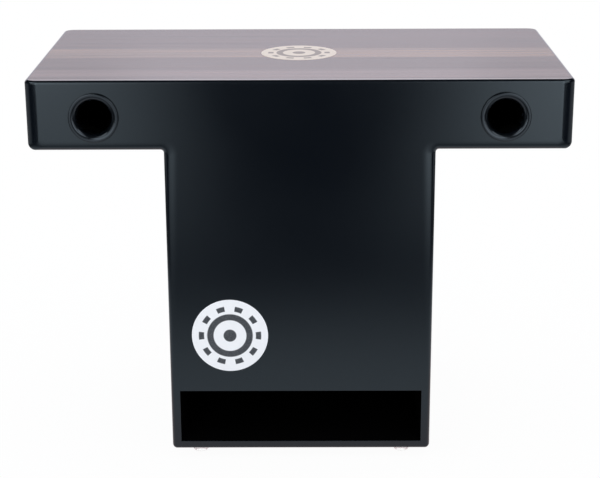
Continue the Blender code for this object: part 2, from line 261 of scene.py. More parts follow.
def planedSpruce():
    # Planed softwood, unfinished: pale yellow with darker late-wood lines a few millimetres apart.
    look = {"early": "#dcc39a", "late": "#b98d5e", "lateFrom": 0.45, "lateTo": 0.85, "swayMm": 111.1,
            "ringMm": 4.5, "fibreMm": 0.7, "fibreShare": 0.25, "fibreHeightMm": 0.03, "rough": 0.62}
    finish, tree, surface = newFinish("planedSpruce")
    place = addNode(tree, "ShaderNodeTexCoord").outputs["Object"]
    sway = addNode(tree, "ShaderNodeTexNoise", {"Scale": 1000 / look["swayMm"], "Detail": 2.0},
                   {"Vector": place})
    split = addNode(tree, "ShaderNodeSeparateXYZ", links={"Vector": place})
    tilt = addNode(tree, "ShaderNodeMath", links={0: split.outputs["Z"], 1: sway.outputs["Fac"]},
                   operation="MULTIPLY")
    rings = addNode(tree, "ShaderNodeTexNoise", {"Scale": 1000 / look["ringMm"], "Detail": 1.0},
                    {"W": tilt.outputs[0]}, noise_dimensions="1D")
    fibre = addNode(tree, "ShaderNodeTexNoise", {"Scale": 1000 / look["fibreMm"], "Detail": 2.0},
                    {"Vector": place})
    mix = addNode(tree, "ShaderNodeMath", {1: look["fibreShare"]},
                  {0: fibre.outputs["Fac"], 2: rings.outputs["Fac"]}, operation="MULTIPLY_ADD")
    colour = addNode(tree, "ShaderNodeValToRGB", links={"Fac": mix.outputs[0]})
    setRamp(colour, [(look["lateFrom"], linear(look["early"])), (look["lateTo"], linear(look["late"]))])
    bump = addNode(tree, "ShaderNodeBump", {"Strength": 0.5, "Distance": look["fibreHeightMm"] / 1000},
                   {"Height": fibre.outputs["Fac"]})
    skin = addNode(tree, "ShaderNodeBsdfPrincipled", {"Roughness": look["rough"]},
                   {"Base Color": colour.outputs["Color"], "Normal": bump.outputs["Normal"]})
    tree.links.new(skin.outputs[0], surface)
    return finish


def drawnSteelWire():
    # Bright drawn steel: metallic grey with fine drawing marks.
    look = {"colour": "#c4c5c7", "roughFrom": 0.22, "roughTo": 0.36, "markMm": 0.6}
    finish, tree, surface = newFinish("drawnSteelWire")
    place = addNode(tree, "ShaderNodeTexCoord").outputs["Object"]
    marks = addNode(tree, "ShaderNodeTexNoise", {"Scale": 1000 / look["markMm"], "Detail": 2.0},
                    {"Vector": place})
    rough = addNode(tree, "ShaderNodeMapRange",
                    {**noiseSpan, "To Min": look["roughFrom"], "To Max": look["roughTo"]},
                    {"Value": marks.outputs["Fac"]})
    skin = addNode(tree, "ShaderNodeBsdfPrincipled", {"Base Color": linear(look["colour"]), "Metallic": 1.0},
                   {"Roughness": rough.outputs["Result"]})
    tree.links.new(skin.outputs[0], surface)
    return finish


def printedDisc(name, ground, ink, centre, axes, radius, rough):
    # Screen print on a thin vinyl disc: a drum hoop with its lugs and a middle dot, flat ink with soft edges.
    # Ink is where r/R is in the hoop, in the dot, or in a lug's band and near a lug's bearing.
    motif = {"dot": 0.17, "hoopFrom": 0.43, "hoopTo": 0.60, "lugFrom": 0.68, "lugTo": 0.82, "lugs": 10,
             "lugHalfTurn": 0.22, "edge": 0.012, "thinInk": 0.93, "speckFrom": 0.25, "speckTo": 0.75,
             "speckMm": 1.111}
    finish, tree, surface = newFinish(name)
    place = addNode(tree, "ShaderNodeTexCoord").outputs["Object"]
    shift = addNode(tree, "ShaderNodeMapping", {"Location": tuple(-c for c in centre)}, {"Vector": place})
    split = addNode(tree, "ShaderNodeSeparateXYZ", links={"Vector": shift.outputs["Vector"]})
    over, up = (split.outputs[axis] for axis in axes)
    flat = addNode(tree, "ShaderNodeCombineXYZ", links={"X": over, "Y": up})
    length = addNode(tree, "ShaderNodeVectorMath", links={0: flat.outputs[0]}, operation="LENGTH")
    reach = addNode(tree, "ShaderNodeMath", {1: radius}, {0: length.outputs["Value"]}, operation="DIVIDE")
    bearing = addNode(tree, "ShaderNodeMath", links={0: up, 1: over}, operation="ARCTAN2")
    turns = addNode(tree, "ShaderNodeMath", {1: motif["lugs"] / (2 * math.pi)}, {0: bearing.outputs[0]},
                    operation="MULTIPLY")
    # 0 at a lug's bearing, 0.5 midway to the next
    wave = addNode(tree, "ShaderNodeMath", {1: 0.5}, {0: turns.outputs[0]}, operation="PINGPONG")
    speck = addNode(tree, "ShaderNodeTexNoise", {"Scale": 1000 / motif["speckMm"], "Detail": 2.0},
                    {"Vector": place})
    amount = addNode(tree, "ShaderNodeMapRange",
                     {"From Min": motif["speckFrom"], "From Max": motif["speckTo"],
                      "To Min": motif["thinInk"], "To Max": 1.0},
                     {"Value": speck.outputs["Fac"]})
    masks = {"amount": amount.outputs["Result"]}

    # Each mask goes from 0 to 1 over a soft edge, outwards where way is 1 and inwards where it is -1
    for key, source, limit, way in (
            ("hoopInside", reach, "hoopFrom", 1), ("hoopOutside", reach, "hoopTo", -1),
            ("lugInside", reach, "lugFrom", 1), ("lugOutside", reach, "lugTo", -1),
            ("lugSides", wave, "lugHalfTurn", -1), ("dot", reach, "dot", -1)):
        soft = way * motif["edge"]
        masks[key] = addNode(tree, "ShaderNodeMapRange",
                             {"From Min": motif[limit] - soft, "From Max": motif[limit] + soft},
                             {"Value": source.outputs[0]}, interpolation_type="SMOOTHSTEP").outputs["Result"]
    for key, first, second, operation in (
            ("hoop", "hoopInside", "hoopOutside", "MULTIPLY"), ("lug", "lugInside", "lugOutside", "MULTIPLY"),
            ("lug", "lug", "lugSides", "MULTIPLY"), ("inked", "hoop", "lug", "MAXIMUM"),
            ("inked", "inked", "dot", "MAXIMUM"), ("cover", "inked", "amount", "MULTIPLY")):
        masks[key] = addNode(tree, "ShaderNodeMath", links={0: masks[first], 1: masks[second]},
                             operation=operation).outputs[0]
    colour = addNode(tree, "ShaderNodeValToRGB", links={"Fac": masks["cover"]})
    setRamp(colour, [(0.0, linear(ground)), (1.0, linear(ink))])
    skin = addNode(tree, "ShaderNodeBsdfPrincipled", {"Roughness": rough},
                   {"Base Color": colour.outputs["Color"]})
    tree.links.new(skin.outputs[0], surface)
    return finish


def gridFaces(rows, columns, wrapRows=False, wrapColumns=False):
    # quads (i, j), (i, j+1), (i+1, j+1), (i+1, j); a wrapped side joins its last line to its first
    i, j = np.meshgrid(np.arange(rows - 1 + wrapRows), np.arange(columns - 1 + wrapColumns), indexing="ij")
    down, over = (i + 1) % rows, (j + 1) % columns
    quads = np.stack([i * columns + j, i * columns + over, down * columns + over, down * columns + j], -1)
    return quads.reshape(-1, 4)


def addPiece(name, patches, finishes, replaced=(), sharp=32, weld=2e-6):
    # patches are (points, faces, finish number): welded at their rims, turned outwards, and smooth up to the
    # sharp angle in degrees
    starts = np.cumsum([0] + [len(points) for points, faces, mark in patches])
    corners, marks = [], []
    for (points, faces, mark), start in zip(patches, starts):
        corners += (np.asarray(faces) + start).tolist()
        marks += [mark] * len(faces) if np.isscalar(mark) else list(mark)
    mesh = bpy.data.meshes.new(name)
    mesh.from_pydata(np.concatenate([p for p, f, m in patches]).tolist(), [], corners)
    mesh.polygons.foreach_set("material_index", marks)
    for finish in finishes:
        mesh.materials.append(finish)
    shell = bmesh.new()
    shell.from_mesh(mesh)
    bmesh.ops.remove_doubles(shell, verts=shell.verts, dist=weld)
    bmesh.ops.recalc_face_normals(shell, faces=shell.faces)
    openEdges = sum(not edge.is_manifold for edge in shell.edges)
    shell.to_mesh(mesh)
    shell.free()
    mesh.polygons.foreach_set("use_smooth", [True] * len(mesh.polygons))
    mesh.set_sharp_from_angle(angle=math.radians(sharp))
    piece = bpy.data.objects.new(name, mesh)
    bpy.context.scene.collection.objects.link(piece)
    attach(piece, "root")
    if replaced:
        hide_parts(*replaced)
    print("piece:", name, len(mesh.polygons), "faces,", openEdges, "open edges")
    return piece


def arcPoints(centre, radius, start, stop, count):
    # centre + radius (cos t, sin t), t from start to stop in degrees
    t = np.radians(np.linspace(start, stop, count))
    return np.column_stack([centre[0] + radius * np.cos(t), centre[1] + radius * np.sin(t)])


def fillFlat(loops, keep):
    # triangles over closed loops in a plane, bound to the loops' edges; keep says which centres are material
    insideOnly, closeness = 1, 1e-8
    counts = [len(loop) for loop in loops]
    starts = np.cumsum([0] + counts)
    edges = np.concatenate([np.column_stack([s + np.arange(n), s + (np.arange(n) + 1) % n])
                            for s, n in zip(starts, counts)])
    corners = [Vector(p) for p in np.concatenate(loops).tolist()]
    made = delaunay_2d_cdt(corners, edges.tolist(), [], insideOnly, closeness)
    points = np.array([p[:] for p in made[0]])
    faces = np.array([face[:] for face in made[2]])
    return points, faces[keep(points[faces].mean(1))]


def onPlane(flat, axis, level):
    # plane points (a, b) become 3-D points with the given axis held at level
    return np.insert(flat, axis, level, axis=1)


def turned(profile, steps):
    # profile (r, h) carried round an axis: (r cos t, r sin t, h)
    t = np.linspace(0, 2 * np.pi, steps, endpoint=False)
    r, h = np.asarray(profile, float).T
    ring = np.stack([np.outer(r, np.cos(t)), np.outer(r, np.sin(t)), np.repeat(h[:, None], steps, 1)], -1)
    return ring.reshape(-1, 3)


lacquer, insideBlack, veneer = satinBlackLacquer(), mattBlackInside(), walnutVeneer()
plastic, polyurethane = mouldedBlackPlastic(), clearPolyurethane()
spruce, steel = planedSpruce(), drawnSteelWire()
lacquered, insideDark, veneered = 0, 1, 2  # finish numbers on the box and its plate
print("finishes made")

carcass = {
    # tight round along the wing ends, undersides, stem sides and foot: width and depth
    "round": (0.0107, 0.0047, 0.0042, 0.0035), "roundDepth": (0.0098, 0.006, 0.006, 0.006),
    # sanded easing before it: width, and the slope that it ends with
    "ease": (0.0022, 0.0048, 0.0090, 0.0035), "slope": (0.09, 0.10, 0.19, 0.12), "easePower": 1.6,
    "corner": 0.0065, "toeCorner": 0.0044,    # the wings' and the stem's outer corners, seen from the front
    "flatCorner": 0.0060, "flatToe": 0.0012,  # the same where the flat front begins, clear of the slot
    "cove": 0.0030,                           # the inner corners
    "slotHeight": 0.0524, "slotArris": 0.0006,
    "waist": 0.012,      # the stem's easing has narrowed to the foot's this far above the slot
    "portHole": 0.0184,
    "hold": 0.0006,      # narrow flat strip that keeps the shading of a flat face flat
    "arcSteps": 14, "easeSteps": 8, "roundSteps": 12, "arrisSteps": 6, "holeSteps": 96,
}


def teeOutline(insets, corner, toeCorner, cove):
    # The T from the right wing's top round to the left one's: straight runs joined by quarter arcs, set in
    # from the wing ends, undersides, stem sides and foot. Above the slot the stem's inset has become the
    # foot's. The left half is the right one mirrored.
    end, edge, stemIn, toeIn = insets
    side, stem, heel = wingHalf - end, stemHalf - stemIn, stemHalf - toeIn
    under, sole = wingBottom + edge, stemBottom + toeIn
    hold, steps = carcass["hold"], carcass["arcSteps"]
    wing = arcPoints((side - corner, under + corner), corner, 0, -90, steps)
    inner = arcPoints((stem + cove, under - cove), cove, 90, 180, steps)
    toe = arcPoints((heel - toeCorner, sole + toeCorner), toeCorner, 0, -90, steps)
    waist = (heel, stemBottom + wall + carcass["slotHeight"] + carcass["waist"])
    right = np.vstack([(side, carcassTop), wing[0] + (0, hold), wing, wing[-1] - (hold, 0),
                       inner[0] + (hold, 0), inner, inner[-1] - (0, hold), waist,
                       toe[0] + (0, hold), toe, toe[-1] - (hold, 0)])
    return np.vstack([right, right[::-1] * (-1, 1)])


def along(end, under, stem, toe):
    # one value for each point of teeOutline, going over from one to the next on the arcs
    steps = carcass["arcSteps"]
    half = np.concatenate([[end] * 2, np.linspace(end, under, steps), [under] * 2,
                           np.linspace(under, stem, steps), [stem], [toe] * (steps + 3)])
    return np.concatenate([half, half[::-1]])


def carcassSkin():
    # Outer skin: an easing of width w whose slope grows as s v^n, so its depth is s w v^(n+1) / (n+1), then a
    # quarter ellipse that starts with that slope and ends on the outer T. The back is the front mirrored.
    hold, power, cove = (carcass[k] for k in ("hold", "easePower", "cove"))
    insets, eases = np.array(carcass["round"]), np.array(carcass["ease"])
    tight, deep, width, slope = (along(*carcass[k]) for k in ("round", "roundDepth", "ease", "slope"))
    outer = teeOutline(np.zeros(4), carcass["corner"], carcass["toeCorner"], cove)

    def easing(left, extra=0.0):
        # the outline with this share of the easing still to go
        return teeOutline(insets + eases * left + extra, carcass["flatCorner"], carcass["flatToe"],
                          cove + insets[1] + eases[1] * left)

    v = np.linspace(0, 1, carcass["easeSteps"])[:-1]
    eased = np.stack([easing(1 - share) for share in v])
    easedDepth = slope * width * v[:, None] ** (power + 1) / (power + 1)
    q = slope * tight / deep
    first = q / (1 - q)  # close to the angle where the ellipse has the easing's last slope
    a = first + (np.pi / 2 - first) * np.linspace(0, 1, carcass["roundSteps"])[:, None]
    inner = easing(0)
    flat = inner + (outer - inner) * ((np.sin(a) - np.sin(first)) / (1 - np.sin(first)))[..., None]
    depth = slope * width / (power + 1) + deep * (np.cos(first) - np.cos(a))
    rings = np.concatenate([easing(1, hold)[None], eased, flat, outer[None]])
    behind = np.concatenate([np.zeros_like(width)[None], easedDepth, depth, depth[-1:] + hold])
    front = np.stack([rings[..., 0], behind - depthHalf, rings[..., 1]], -1)
    return np.concatenate([front, front[::-1] * (1, -1, 1)])


def topEdge(skin):
    # the skin's top edge in plan: up the right side, then back down the left one
    return np.vstack([skin[:, 0, :2], skin[::-1, -1, :2]])


def makeCarcass():
    # One closed shell: skin, flat front and back, mouths of the slot and ports, inner walls and rim.
    hole, steps = carcass["portHole"], carcass["holeSteps"]
    arris, slotHeight = carcass["slotArris"], carcass["slotHeight"]
    skin = carcassSkin()
    rows, columns = skin.shape[:2]
    patches = [(skin.reshape(-1, 3), gridFaces(rows, columns), lacquered)]

    innerX, slotX = wingHalf - wall, stemHalf - wall
    floorTop, wingTop = stemBottom + wall, wingBottom + wall
    slotTop = floorTop + slotHeight
    mouth, behindFront, beforeBack = arris - depthHalf, wall - depthHalf, depthHalf - wall
    circles = [arcPoints((side * portX, portZ), hole, 0, 360, steps + 1)[:-1] for side in (-1, 1)]

    def slotLoop(grow):
        # the slot's rectangle, grown on all sides
        return np.array([(-slotX - grow, floorTop - grow), (slotX + grow, floorTop - grow),
                         (slotX + grow, slotTop + grow), (-slotX - grow, slotTop + grow)])

    def clearOfPorts(centres):
        # true where a centre is further from both port axes than the hole's radius
        return np.hypot(np.abs(centres[:, 0]) - portX, centres[:, 1] - portZ) > hole

    def clearOfFront(centres):
        # true where a centre is outside the ports and the slot's grown rectangle
        fromMiddle = np.abs(centres[:, 1] - (floorTop + slotTop) / 2)
        inSlot = (np.abs(centres[:, 0]) < slotX + arris) & (fromMiddle < slotHeight / 2 + arris)
        return clearOfPorts(centres) & ~inSlot

    points, faces = fillFlat([skin[0][:, ::2], slotLoop(arris), *circles], clearOfFront)  # front face
    patches.append((onPlane(points, 1, -depthHalf), faces, lacquered))
    points, faces = fillFlat([skin[-1][:, ::2]], lambda centres: np.full(len(centres), True))  # back face
    patches.append((onPlane(points, 1, depthHalf), faces, lacquered))

    # Slot mouth: the slot's outline grown by arris (1 - sin a), at arris (1 - cos a) behind the face
    a = np.radians(np.linspace(0, 90, carcass["arrisSteps"]))
    rings = np.stack([onPlane(slotLoop(arris * (1 - math.sin(v))), 1, arris * (1 - math.cos(v)) - depthHalf)
                      for v in a])
    patches.append((rings.reshape(-1, 3), gridFaces(len(a), 4, wrapColumns=True), lacquered))
    for circle in circles:  # port holes: the circle carried straight through the panel
        through = np.stack([onPlane(circle, 1, level) for level in (-depthHalf, behindFront)])
        patches.append((through.reshape(-1, 3), gridFaces(2, steps, wrapColumns=True), insideDark))

    # The inside: flat walls of the inner T, which the slot opens at the floor
    wide = np.array([(innerX, carcassTop), (innerX, wingTop), (slotX, wingTop), (slotX, floorTop)])
    tee = np.vstack([wide, wide[::-1] * (-1, 1)])
    upper = np.vstack([wide[:3], (slotX, slotTop)])
    points, faces = fillFlat([np.vstack([upper, upper[::-1] * (-1, 1)]), *circles], clearOfPorts)
    patches.append((onPlane(points, 1, behindFront), faces, insideDark))
    patches.append((onPlane(tee, 1, beforeBack), [range(8)], insideDark))
    plan = np.array([(-slotX, mouth), (slotX, mouth), (slotX, beforeBack), (-slotX, beforeBack)])
    patches.append((onPlane(plan, 2, floorTop), [range(4)], insideDark))
    patches.append((onPlane(np.clip(plan, None, (1, behindFront)), 2, slotTop), [range(4)], insideDark))
    stemSide = np.array([(mouth, floorTop), (beforeBack, floorTop), (beforeBack, wingTop),
                         (behindFront, wingTop), (behindFront, slotTop), (mouth, slotTop)])
    wingFloor = np.array([(slotX, behindFront), (innerX, behindFront), (innerX, beforeBack),
                          (slotX, beforeBack)])
    wingEnd = np.array([(behindFront, wingTop), (beforeBack, wingTop), (beforeBack, carcassTop),
                        (behindFront, carcassTop)])
    for side in (-1, 1):
        patches.append((onPlane(stemSide, 0, side * slotX), [range(6)], insideDark))
        patches.append((onPlane(wingFloor * (side, 1), 2, wingTop), [range(4)], insideDark))
        patches.append((onPlane(wingEnd, 0, side * innerX), [range(4)], insideDark))

    # Rim under the playing plate: from the skin's top edge in to the inner walls
    well = np.array([(-innerX, behindFront), (innerX, behindFront), (innerX, beforeBack),
                     (-innerX, beforeBack)])
    points, faces = fillFlat([topEdge(skin), well], lambda centres: (np.abs(centres[:, 0]) > innerX)
                             | (np.abs(centres[:, 1]) > beforeBack))
    patches.append((onPlane(points, 2, carcassTop), faces, insideDark))
    boards = ["front_panel", "back_panel", "stem_floor"]
    boards += [f"{side}_{board}" for side in ("left", "right")
               for board in ("wing_end", "wing_floor", "stem_side")]
    return addPiece("lacqueredCarcass", patches, [lacquer, insideBlack], boards)


makeCarcass()

plate = {
    "topRound": 0.0029,  # black lacquer round the edge, veneer on the flat
    "inlay": 0.00012,    # the top lies this far under the CAD top, for the disc's thickness
    "hold": 0.0006,      # narrow flat strip before the flat top and under the round
    "roundSteps": 16,
}


def makePlate():
    # The carcass's top edge in plan, set in by r (1 - cos a) along its normals, at top - r + r sin a.
    top, r, hold = cadHigh.z - plate["inlay"], plate["topRound"], plate["hold"]
    around = topEdge(carcassSkin())
    run = np.roll(around, -1, 0) - np.roll(around, 1, 0)
    outward = np.column_stack([run[:, 1], -run[:, 0]]) / np.hypot(run[:, 0], run[:, 1])[:, None]

    a = np.radians(np.linspace(0, 90, plate["roundSteps"]))
    insets = np.concatenate([[0, 0], r * (1 - np.cos(a)), [r + hold]])
    levels = np.concatenate([[carcassTop, top - r - hold], top - r + r * np.sin(a), [top]])
    rings = np.stack([onPlane(around - inset * outward, 2, z) for inset, z in zip(insets, levels)])
    rows, columns = rings.shape[:2]
    faces = gridFaces(rows, columns, wrapColumns=True)
    marks = np.repeat([lacquered] * (rows - 2) + [veneered], columns)
    patches = [(rings.reshape(-1, 3), faces, marks.tolist()),
               (rings[0], [range(columns)], insideDark), (rings[-1], [range(columns)], veneered)]
    return addPiece("playingPlate", patches, [lacquer, insideBlack, veneer], ["playing_surface"])


makePlate()

port = {
    "bore": 0.0156, "tube": 0.0181, "flange": 0.0229,   # radii
    "shoulder": 0.0009, "land": 0.0013,                 # widths, from the flange's edge inwards
    "edge": 0.0016, "proud": 0.0025,                    # the edge's height, and the land's before the face
    "flare": 0.004, "throat": 0.001, "length": 0.070,   # depths behind the face
    "lip": 0.0006, "neck": 0.0005,
    "curveSteps": 14, "lipSteps": 9, "steps": 128,
}


def makePorts():
    # Moulded tube: a quarter ellipse over the flange's shoulder, a flat land, another ellipse down the flare,
    # a straight bore, half an ellipse round the inner end, and the tube's outside back to the flange.
    bore, tube, flange = (port[k] for k in ("bore", "tube", "flange"))
    proud, edge, flare, lip = (port[k] for k in ("proud", "edge", "flare", "lip"))
    brow = flange - port["shoulder"]
    crest = brow - port["land"]
    a = np.radians(np.linspace(0, 90, port["curveSteps"]))
    inwards = a[::-1]
    outside = np.column_stack([brow + (flange - brow) * np.cos(a), edge + (proud - edge) * np.sin(a)])
    mouth = np.column_stack([crest - (crest - bore) * np.cos(inwards),
                             -flare + (proud + flare) * np.sin(inwards)])
    half, start = (tube - bore) / 2, -port["length"] + lip
    end = arcPoints(((bore + tube) / 2, 0), half, 180, 360, port["lipSteps"]) * (1, lip / half) + (0, start)
    seat = np.array([(tube, -port["neck"]), (tube, 0.0), (flange, 0.0)])
    profile = np.vstack([outside, mouth, (bore, -flare - port["throat"]), end, seat])
    ring = turned(profile, port["steps"])
    faces = gridFaces(len(profile), port["steps"], True, True)
    for side, name in ((-1, "left"), (1, "right")):
        points = np.column_stack([side * portX + ring[:, 0], -depthHalf - ring[:, 2], portZ + ring[:, 1]])
        addPiece(f"{name}PortTube", [(points, faces, 0)], [plastic], [f"{name}_port_tube"],
                 sharp=50)


makePorts()

foot = {"contact": 0.0045, "full": 0.8, "steps": 64, "curveSteps": 18}


def makeFeet():
    # Dome: r = c + (R - c) cos^p b, h = top (1 - sin^p b), from the glued face down to the flat contact of
    # radius c.
    b = np.linspace(0, np.pi / 2, foot["curveSteps"])
    power, contact = foot["full"], foot["contact"]
    faces = gridFaces(foot["curveSteps"] + 2, foot["steps"], False, True)
    for name in ("front_left", "front_right", "back_left", "back_right"):
        low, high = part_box(f"{name}_foot")
        radius, top = (high.x - low.x) / 2, stemBottom
        dome = np.column_stack([contact + (radius - contact) * np.abs(np.cos(b)) ** power,
                                top - top * np.sin(b) ** power])
        ring = turned(np.vstack([(0, top), dome, (0, 0)]), foot["steps"])
        points = ring + ((low.x + high.x) / 2, (low.y + high.y) / 2, 0)
        side, end = name.split("_")
        addPiece(f"{side}{end.title()}Foot", [(points, faces, 0)], [polyurethane],
                 [f"{name}_foot"], sharp=40)


makeFeet()

disc = {
    "frontRadius": 0.0362, "frontX": -0.0670, "frontZ": 0.1273,
    "topRadius": 0.0368, "topX": -0.0010, "topY": -0.0014,
    "frontGround": "#f7f8f9", "frontInk": "#2a3037", "topGround": "#e3d5c5", "topInk": "#8d8078",
    "rough": 0.35, "thick": 0.00012, "rimSteps": 5, "rings": 10, "steps": 128,
}


def makeDiscs():
    # Thin disc with a rounded rim: r = R - t + t cos b, h = t sin b from the rim up, then flat to the middle.
    thick, rings = disc["thick"], disc["rings"]
    b = np.radians(np.linspace(0, 90, disc["rimSteps"]))

    def cut(radius):
        # the disc's points about its own axis, and its faces
        rim = np.column_stack([radius - thick + thick * np.cos(b), thick * np.sin(b)])
        flat = np.column_stack([np.linspace(radius - 2 * thick, 0, rings), np.full(rings, thick)])
        profile = np.vstack([(0, 0), rim, flat])
        return turned(profile, disc["steps"]), gridFaces(len(profile), disc["steps"], False, True)

    radius = disc["frontRadius"]
    ring, faces = cut(radius)
    front = (disc["frontX"], -depthHalf, disc["frontZ"])
    points = np.column_stack([front[0] + ring[:, 0], front[1] - ring[:, 2], front[2] + ring[:, 1]])
    vinyl = printedDisc("printedWhiteVinyl", disc["frontGround"], disc["frontInk"], front, ("X", "Z"), radius,
                        disc["rough"])
    addPiece("frontDisc", [(points, faces, 0)], [vinyl])
    radius = disc["topRadius"]
    ring, faces = cut(radius)
    top = (disc["topX"], disc["topY"], cadHigh.z - thick)
    decal = printedDisc("printedCreamDecal", disc["topGround"], disc["topInk"], top, ("X", "Y"), radius,
                        disc["rough"])
    addPiece("topDisc", [(ring + top, faces, 0)], [decal])


makeDiscs()

wooden = ("batten", "cleat", "bar")
for name, node in nodes.items():  # CAD nodes that stay as they are
    if not node.hide_render:
        node.data.materials.clear()
        node.data.materials.append(spruce if any(word in name for word in wooden) else steel)
        print("kept:", name)

stage = {"floorHalf": 30.0, "white": "#ffffff", "sky": "#f6f9ff", "skyLight": 1.05, "keepShadow": 0.04}


def addStage(name, points, faces, finish, glossyOnly=False):
    # a sheet of the studio; a glossy-only one is seen in reflections and nowhere else
    mesh = bpy.data.meshes.new(name)
    mesh.from_pydata(np.asarray(points, float).tolist(), [], np.asarray(faces).tolist())
    mesh.materials.append(finish)
    sheet = bpy.data.objects.new(name, mesh)
    bpy.context.scene.collection.objects.link(sheet)
    if glossyOnly:
        for kind in ("camera", "diffuse", "transmission", "volume_scatter", "shadow"):
            setattr(sheet, "visible_" + kind, False)
    return sheet


def spanning(half, near, far):
    # corners between two (y, z) lines, from -half to half in x
    return [(-half, *near), (half, *near), (half, *far), (-half, *far)]


def makeFloor():
    # White floor under an even white sky. Camera, glossy and clear rays see it mostly self-lit, so that the
    # shadow stays faint.
    finish, tree, surface = newFinish("whiteFloor")
    path = addNode(tree, "ShaderNodeLightPath")
    seen = addNode(tree, "ShaderNodeMath",
                   links={0: path.outputs["Is Camera Ray"], 1: path.outputs["Is Glossy Ray"]},
                   operation="MAXIMUM")
    seen = addNode(tree, "ShaderNodeMath", links={0: seen.outputs[0], 1: path.outputs["Is Transmission Ray"]},
                   operation="MAXIMUM")
    share = addNode(tree, "ShaderNodeMath", {1: 1 - stage["keepShadow"]}, {0: seen.outputs[0]},
                    operation="MULTIPLY")
    paint = addNode(tree, "ShaderNodeBsdfDiffuse", {"Color": linear(stage["white"])})
    glow = addNode(tree, "ShaderNodeEmission", {"Color": linear(stage["white"]), "Strength": 1.0})
    mix = addNode(tree, "ShaderNodeMixShader",
                  links={0: share.outputs[0], 1: paint.outputs[0], 2: glow.outputs[0]})
    tree.links.new(mix.outputs[0], surface)
    half = stage["floorHalf"]
    addStage("floor", spanning(half, (-half, 0), (half, 0)), [range(4)], finish)
    world = bpy.data.worlds.new("whiteSky")
    world.use_nodes = True
    world.node_tree.nodes.clear()
    sky = addNode(world.node_tree, "ShaderNodeBackground",
                  {"Color": linear(stage["sky"]), "Strength": stage["skyLight"]})
    addNode(world.node_tree, "ShaderNodeOutputWorld", links={"Surface": sky.outputs[0]})
    bpy.context.scene.world = world


makeFloor()

cards = {
    "half": 3.0, "level": 0.0006,  # floor card, just over the floor
    # lit floor round the drum, by distance from it, with its own tint close by
    "nearFrom": 0.14, "nearTo": 0.60, "nearLight": 0.66, "dark": 0.062,
    "nearTint": "#fff0f2", "tintFrom": 0.02, "tintTo": 0.16,
    # dark lane, wider towards the camera
    "laneFrom": 0.09, "laneTo": 0.45, "laneAt": 1.40, "laneSpread": 0.14,
    # lit patches beside it: their outer side, their near side, brighter on the right and fainter on the left
    "patchFrom": 0.60, "patchTo": 0.68, "patchAt": 1.37, "patchSpread": 0.28, "patchLean": 0.08,
    "patchStart": 0.44, "patchFull": 1.50, "patchLight": 1.29,
    "brightFrom": 0.28, "brightTo": 0.46, "brightLight": 1.54, "faintShare": 0.84,
    # dim floor beside the wings
    "sideFrom": 0.90, "sideTo": 1.20, "sideEnd": -0.35, "sideGone": -0.75, "sideLight": 0.32,
    # upright front panel, dim where the lane meets it and fading to its sides
    "panelY": -1.9, "panelHalf": 1.7, "panelTop": 6.0, "panelLight": 2.5, "panelFade": (0.80, 1.2, 0.5),
    "gapFrom": 0.20, "gapTo": 0.68, "gapLight": 0.04,
    # dark ceiling, lit at its front corners
    "ceilingFrom": -1.75, "ceilingMiddle": -0.60, "ceilingTo": 2.59, "ceilingHalf": 3.4,
    "ceilingHigh": 2.15, "ceilingLow": 1.75,
    "ceilingStart": 0.50, "ceilingFull": 1.90, "ceilingDark": 0.01, "ceilingLight": 2.2,
    # dark flags to the left and right
    "base": 0.01, "flagX": 2.9, "flagTop": 2.2, "flagLight": 0.02,
    # bright back with a brighter window
    "backY": 2.6, "backHalf": 3.5, "backTop": 2.2, "backTint": "#f4f0fc", "backLight": 1.03,
    "windowLow": 0.93, "windowHigh": 1.06, "windowHalf": 0.40, "windowSoft": 0.56, "windowLight": 0.50,
}


def addCard(name, corners, tint, span, middle, light, rise=None, fade=None):
    # Glossy-only sheet on four corners: its light goes from middle at |x| = span[0] to light at span[1].
    # With rise, that change only comes in between two heights. With fade, the light then falls to fade[2]
    # of itself between |x| = fade[0] and fade[1].
    finish, tree, surface = newFinish(name)
    place = addNode(tree, "ShaderNodeTexCoord").outputs["Object"]
    ahead = addNode(tree, "ShaderNodeVectorMath", links={0: place}, operation="ABSOLUTE")
    sides = addNode(tree, "ShaderNodeSeparateXYZ", links={"Vector": ahead.outputs[0]})
    level = addNode(tree, "ShaderNodeMapRange",
                    {"From Min": span[0], "From Max": span[1], "To Min": middle, "To Max": light},
                    {"Value": sides.outputs["X"]}).outputs["Result"]
    if rise:
        height = addNode(tree, "ShaderNodeMapRange", {"From Min": rise[0], "From Max": rise[1]},
                         {"Value": sides.outputs["Z"]}, interpolation_type="SMOOTHSTEP")
        extra = addNode(tree, "ShaderNodeMath", {1: light}, {0: level}, operation="SUBTRACT")
        level = addNode(tree, "ShaderNodeMath", {2: light},
                        {0: extra.outputs[0], 1: height.outputs["Result"]},
                        operation="MULTIPLY_ADD").outputs[0]
    if fade:
        outer = addNode(tree, "ShaderNodeMapRange",
                        {"From Min": fade[0], "From Max": fade[1], "To Min": 1.0, "To Max": fade[2]},
                        {"Value": sides.outputs["X"]})
        level = addNode(tree, "ShaderNodeMath", links={0: level, 1: outer.outputs["Result"]},
                        operation="MULTIPLY").outputs[0]
    glow = addNode(tree, "ShaderNodeEmission", {"Color": linear(tint)}, {"Strength": level})
    tree.links.new(glow.outputs[0], surface)
    addStage(name, corners, [range(4)], finish, True)


